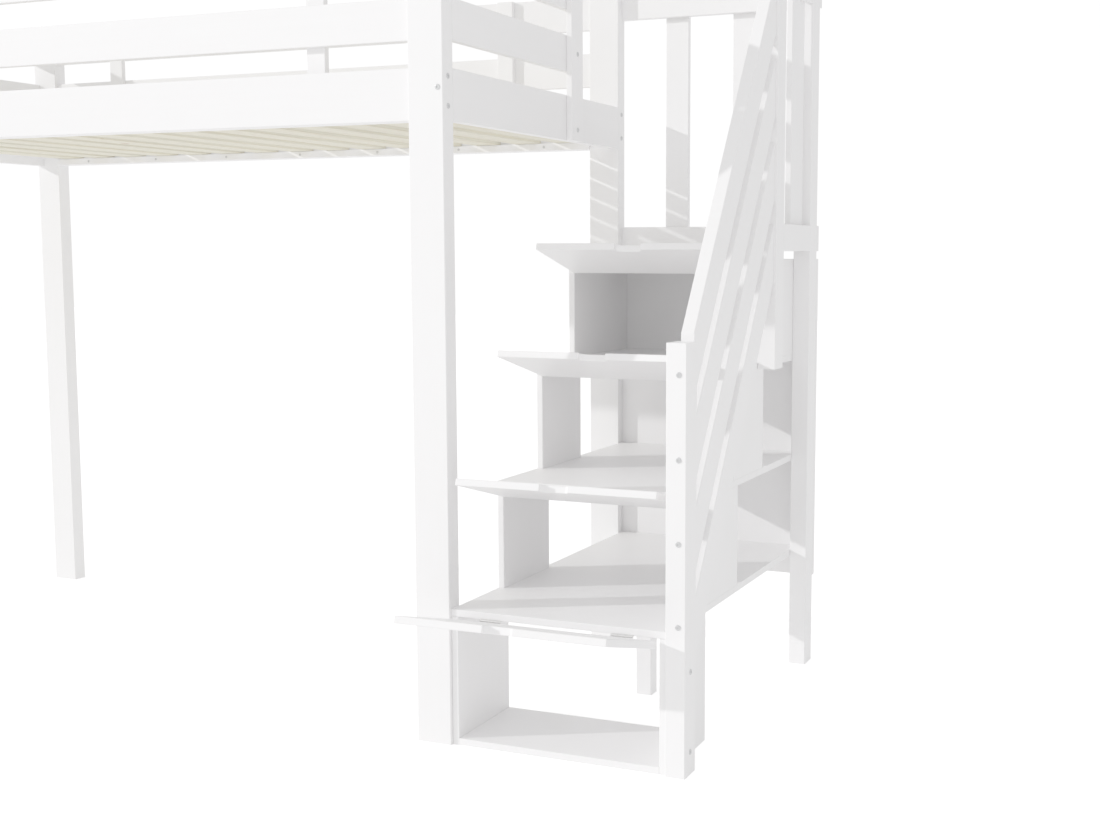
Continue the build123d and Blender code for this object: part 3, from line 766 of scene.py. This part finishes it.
class LOFTBED_OT_hinges(bpy.types.Operator):
    """Model the doors' hinges: leaves with knuckles, pins with domed ends, and their screws"""
    bl_idname = "loft_bed.hinges"
    bl_label = "Hinges"

    def execute(self, context):
        half, end = KNUCKLE_LENGTH / 2, HINGE_LENGTH / 2
        outer = ((-end, -half - KNUCKLE_GAP), (half + KNUCKLE_GAP, end))
        board_leaf = self.leaf(1, outer, ((-half, half),))
        door_leaf = self.leaf(-1, ((-half, half),), outer)
        pin = self.pin()
        board_leaves, pins = [], []
        for number in range(1, 5):
            places = [Matrix.Translation(middle) for middle in door_pins(number)]
            board_leaves += [copy_at(board_leaf, place) for place in places]
            pins += [copy_at(pin, place) for place in places]
            opened = Matrix.Rotation(-DOOR_OPEN, 4, "X")
            leaves = joined([copy_at(door_leaf, place @ opened) for place in places])
            kept(leaves, f"door_{number}_hinge_leaves_steel", hinge_steel(), "hinge_steel",
                 f"door_{number}", f"door_{number}_hinge_leaves")
        kept(joined(board_leaves), "hinge_board_leaves_steel", hinge_steel(), "hinge_steel", "bed",
             "hinge_board_leaves")
        kept(joined(pins), "hinge_pins_steel", hinge_steel(), "hinge_steel", "bed", "hinge_pins")
        for pattern in (board_leaf, door_leaf, pin):
            bpy.data.objects.remove(pattern)
        return {"FINISHED"}

    @staticmethod
    def leaf(side, kept_spans, left_out):
        """A leaf with its knuckles and screws, about the pin, as it lies when the door is shut."""
        near, far = sorted((side * LEAF_LIFT, side * DOOR_HEAD))
        end = HINGE_LENGTH / 2
        plate = block((-end, 0, near), (end, PIN_OFFSET + LEAF_WIDTH, far))
        select(plate, "EDGE", lambda edge: edge.verts[0].co.y > 0.01 and edge.verts[1].co.y > 0.01
               and abs(edge.verts[0].co.z - edge.verts[1].co.z) > 0.0005)
        bevel(LEAF_CORNER, 4)
        for span in left_out:
            room = block((span[0] - KNUCKLE_GAP, -PIN_OFFSET, near - CUT_PAST),
                         (span[1] + KNUCKLE_GAP, PIN_OFFSET, far + CUT_PAST))
            combined(plate, room, "DIFFERENCE")
        for span in kept_spans:
            knuckle = cylinder((sum(span) / 2, 0, 0), (1, 0, 0), KNUCKLE_RADIUS, span[1] - span[0])
            combined(plate, knuckle, "UNION")
        bore = cylinder((0, 0, 0), (1, 0, 0), PIN_RADIUS + PIN_ROOM, HINGE_LENGTH * 1.1)
        combined(plate, bore, "DIFFERENCE")
        for x, y in HINGE_SCREWS:
            sink = cylinder((x, y, side * LEAF_LIFT), (0, 0, 1), *HINGE_SINK_SIZE, SCREW_STEPS)
            combined(plate, sink, "DIFFERENCE")
        smooth(plate)
        head = screw_head(*HINGE_SCREW_SIZE)
        screws = [copy_at(head, facing((x, y, side * HINGE_SCREW_SEAT), (0, 0, -side)))
                  for x, y in HINGE_SCREWS]
        bpy.data.objects.remove(head)
        return joined([plate] + screws)

    @staticmethod
    def pin():
        piece = cylinder((0, 0, 0), (1, 0, 0), PIN_RADIUS, HINGE_LENGTH)
        select(piece, "EDGE", lambda edge: abs(edge.verts[0].co.x - edge.verts[1].co.x) < TOUCH)
        bevel(PIN_DOME, 3)
        return smooth(piece)


def screw_head(radius, thickness):
    """A flat screw head with a cross recess, facing up, with its seat at the origin."""
    piece = cylinder((0, 0, thickness / 2), (0, 0, 1), radius, thickness, SCREW_STEPS)
    select(piece, "EDGE", lambda edge: all(vert.co.z > thickness * 0.9 for vert in edge.verts))
    bevel(thickness * 0.4, 2)
    arm, slot = radius * 0.55, radius * 0.13
    depth = thickness * 0.6
    for size in ((arm, slot), (slot, arm)):
        room = block((-size[0], -size[1], thickness - depth), (size[0], size[1], thickness * 2))
        combined(piece, room, "DIFFERENCE")
    return smooth(piece)


class LOFTBED_OT_bolts(bpy.types.Operator):
    """Model the connector bolts' heads with their six-sided sockets, and the slotted barrel nuts"""
    bl_idname = "loft_bed.bolts"
    bl_label = "Bolts and nuts"

    def execute(self, context):
        sizes = context.scene.loft_bed_sizes
        ends = outward_ends("connector_bolts")
        thickness = BOLT_HEAD_THICKNESS
        head = cylinder((0, 0, -thickness / 2), (0, 0, 1), sizes.bolt_head_radius, thickness)
        select(head, "EDGE", lambda edge: all(vert.co.z > -TOUCH for vert in edge.verts))
        bevel(BOLT_HEAD_ROUNDING, 3)
        socket = cylinder((0, 0, 0), (0, 0, 1), sizes.bolt_socket_radius, BOLT_SOCKET_LENGTH, 6)
        smooth(combined(head, socket, "DIFFERENCE"))
        radius, length = BOLT_SHANK
        shank = cylinder((0, 0, -thickness - length / 2), (0, 0, 1), radius, length, 16)
        head = joined([head, shank])
        heads = []
        for low, high, axis, side in ends:
            place = (low + high) / 2
            place[axis] = high[axis] if side > 0 else low[axis]
            heads.append(copy_at(head, facing(place, way_along(axis, side))))
        bpy.data.objects.remove(head)
        kept(joined(heads), "connector_bolts_zinc", zinc(), "zinc_steel", "bed", "connector_bolts")
        self.nuts()
        return {"FINISHED"}

    @staticmethod
    def nuts():
        """Barrel nuts, each with a slot across the end that shows."""
        made = []
        half_length, half_width, depth = NUT_SLOT
        for points in solids_of("barrel_nuts"):
            low, high = corners(points)
            axis, side = nut_way(low, high)
            size = high - low
            nut = cylinder((0, 0, 0), (0, 0, 1), size.z / 2, size[axis])
            select(nut, "EDGE", lambda edge: abs(edge.verts[0].co.z - edge.verts[1].co.z) < TOUCH)
            bevel(NUT_ROUNDING, 2)
            end = size[axis] / 2
            slot = block((-half_length, -half_width, end - depth),
                         (half_length, half_width, end + CUT_PAST))
            smooth(combined(nut, slot, "DIFFERENCE"))
            made.append(copy_at(nut, facing((low + high) / 2, way_along(axis, side))))
            bpy.data.objects.remove(nut)
        kept(joined(made), "barrel_nuts_zinc", zinc(), "zinc_steel", "bed", "barrel_nuts")


class LOFTBED_OT_screws(bpy.types.Operator):
    """Model the wood screws that hold the ledgers and the upright boards"""
    bl_idname = "loft_bed.screws"
    bl_label = "Wood screws"

    def execute(self, context):
        sizes = context.scene.loft_bed_sizes
        head = screw_head(sizes.screw_head_radius, WOOD_SCREW_THICKNESS)
        places = self.ledger_screws(sizes.ledger_screw_spacing)
        places += self.guard_screws() + self.landing_screws()
        screws = [copy_at(head, facing(place, way)) for place, way in places]
        bpy.data.objects.remove(head)
        kept(joined(screws), "wood_screws", zinc(), "zinc_steel", "bed")
        return {"FINISHED"}

    @staticmethod
    def ledger_screws(spacing):
        places = []
        for node, side in zip(LEDGERS, (1, -1)):
            low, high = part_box(node)
            count = int((high.x - low.x) / spacing)
            gap = (high.x - low.x) / count
            for i in range(count):
                x = low.x + gap * (i + 0.5)
                places.append(((x, high.y if side > 0 else low.y, (low.z + high.z) / 2), (0, side, 0)))
        return places

    @staticmethod
    def guard_screws():
        """Two screws through each front upright into the rail and into each guard board."""
        places = []
        levels = [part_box(node) for node in ("side_rail_front", "guard_front_lower", "guard_front_upper")]
        for points in solids_of("guard_uprights_front"):
            low, high = corners(points)
            for box_low, box_high in levels:
                z = (max(box_low.z, low.z) + box_high.z) / 2
                for x in (low.x * 0.75 + high.x * 0.25, low.x * 0.25 + high.x * 0.75):
                    places.append(((x, high.y, z), (0, 1, 0)))
        return places

    @staticmethod
    def landing_screws():
        """Two screws through the right upright board into each rail."""
        places = []
        low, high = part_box("landing_upright_right")
        for rail in solids_of("landing_rails_right"):
            rail_low, rail_high = corners(rail)
            for y in (low.y * 0.75 + high.y * 0.25, low.y * 0.25 + high.y * 0.75):
                places.append(((low.x, y, (rail_low.z + rail_high.z) / 2), (-1, 0, 0)))
        return places


class LOFTBED_OT_stage(bpy.types.Operator):
    """Set up the floor, the soft studio light and the photograph's camera"""
    bl_idname = "loft_bed.stage"
    bl_label = "Stage"

    def execute(self, context):
        self.floor()
        self.light(context)
        self.camera(context)
        return {"FINISHED"}

    @staticmethod
    def floor():
        work_on(None)
        bpy.ops.mesh.primitive_plane_add(size=40)
        floor = bpy.context.active_object
        floor.name = "studio_floor"
        floor.data.materials.append(studio_floor())

    @staticmethod
    def light(context):
        """An even fill whose walls look white, a low sun, and a soft box above the camera."""
        world = bpy.data.worlds.new("studio air")
        world.use_nodes = True
        nodes, links = world.node_tree.nodes, world.node_tree.links
        seen = nodes.new("ShaderNodeLightPath").outputs["Is Camera Ray"]
        strength = nodes.new("ShaderNodeMix")
        strength.inputs["A"].default_value = AIR_STRENGTH
        strength.inputs["B"].default_value = WALL_STRENGTH
        links.new(seen, strength.inputs["Factor"])
        background = nodes["Background"]
        background.inputs["Color"].default_value = (1.0, 1.0, 1.0, 1.0)
        links.new(strength.outputs["Result"], background.inputs["Strength"])
        context.scene.world = world
        context.scene.view_settings.view_transform = "Standard"
        context.scene.view_settings.gamma = DISPLAY_GAMMA
        work_on(None)
        bpy.ops.object.light_add(type="SUN", location=(0, 0, 4))
        sun = bpy.context.active_object
        sun.name = "low_sun"
        sun.rotation_euler = Vector(SUN_WAY).to_track_quat("-Z", "Y").to_euler()
        sun.data.energy = SUN_STRENGTH
        sun.data.angle = SUN_ANGLE
        bpy.ops.object.light_add(type="AREA", location=SOFT_BOX_PLACE)
        soft_box = bpy.context.active_object
        soft_box.name = "soft_box"
        way = Vector(SOFT_BOX_AIM) - Vector(SOFT_BOX_PLACE)
        soft_box.rotation_euler = way.to_track_quat("-Z", "Y").to_euler()
        soft_box.data.energy = SOFT_BOX_POWER
        soft_box.data.size = SOFT_BOX_SIZE

    @staticmethod
    def camera(context):
        work_on(None)
        turn = (math.radians(90 - CAMERA_PITCH), 0, math.radians(CAMERA_YAW))
        bpy.ops.object.camera_add(location=CAMERA_PLACE, rotation=turn)
        camera = bpy.context.active_object
        camera.name = "photograph_camera"
        camera.data.sensor_width = 36.0
        camera.data.lens = CAMERA_LENS
        camera.data.shift_x, camera.data.shift_y = CAMERA_SHIFT
        context.scene.camera = camera


STEPS = (
    LOFTBED_OT_posts,
    LOFTBED_OT_rails,
    LOFTBED_OT_slats,
    LOFTBED_OT_guards,
    LOFTBED_OT_stair_boxes,
    LOFTBED_OT_handrail,
    LOFTBED_OT_landing_guard,
    LOFTBED_OT_doors,
    LOFTBED_OT_hinges,
    LOFTBED_OT_bolts,
    LOFTBED_OT_screws,
    LOFTBED_OT_stage,
)


class LOFTBED_PT_sidebar(bpy.types.Panel):
    """The loft bed's pieces, sizes and colours"""
    bl_label = "Loft bed"
    bl_space_type = "VIEW_3D"
    bl_region_type = "UI"
    bl_category = "Loft bed"

    def draw(self, context):
        for step in STEPS:
            self.layout.operator(step.bl_idname)
        for group in (context.scene.loft_bed_sizes, context.scene.loft_bed_colours):
            for name in group.bl_rna.properties.keys():
                if name not in ("rna_type", "name"):
                    self.layout.prop(group, name)


CLASSES = (LoftBedSizes, LoftBedColours, *STEPS, LOFTBED_PT_sidebar)


def register():
    for item in CLASSES:
        bpy.utils.register_class(item)
    bpy.types.Scene.loft_bed_sizes = bpy.props.PointerProperty(type=LoftBedSizes)
    bpy.types.Scene.loft_bed_colours = bpy.props.PointerProperty(type=LoftBedColours)


def unregister():
    del bpy.types.Scene.loft_bed_colours
    del bpy.types.Scene.loft_bed_sizes
    for item in reversed(CLASSES):
        bpy.utils.unregister_class(item)


def main():
    register()
    bpy.ops.loft_bed.posts()
    bpy.ops.loft_bed.rails()
    bpy.ops.loft_bed.slats()
    bpy.ops.loft_bed.guards()
    bpy.ops.loft_bed.stair_boxes()
    bpy.ops.loft_bed.handrail()
    bpy.ops.loft_bed.landing_guard()
    bpy.ops.loft_bed.doors()
    bpy.ops.loft_bed.hinges()
    bpy.ops.loft_bed.bolts()
    bpy.ops.loft_bed.screws()
    bpy.ops.loft_bed.stage()


if __name__ == "__main__":
    main()
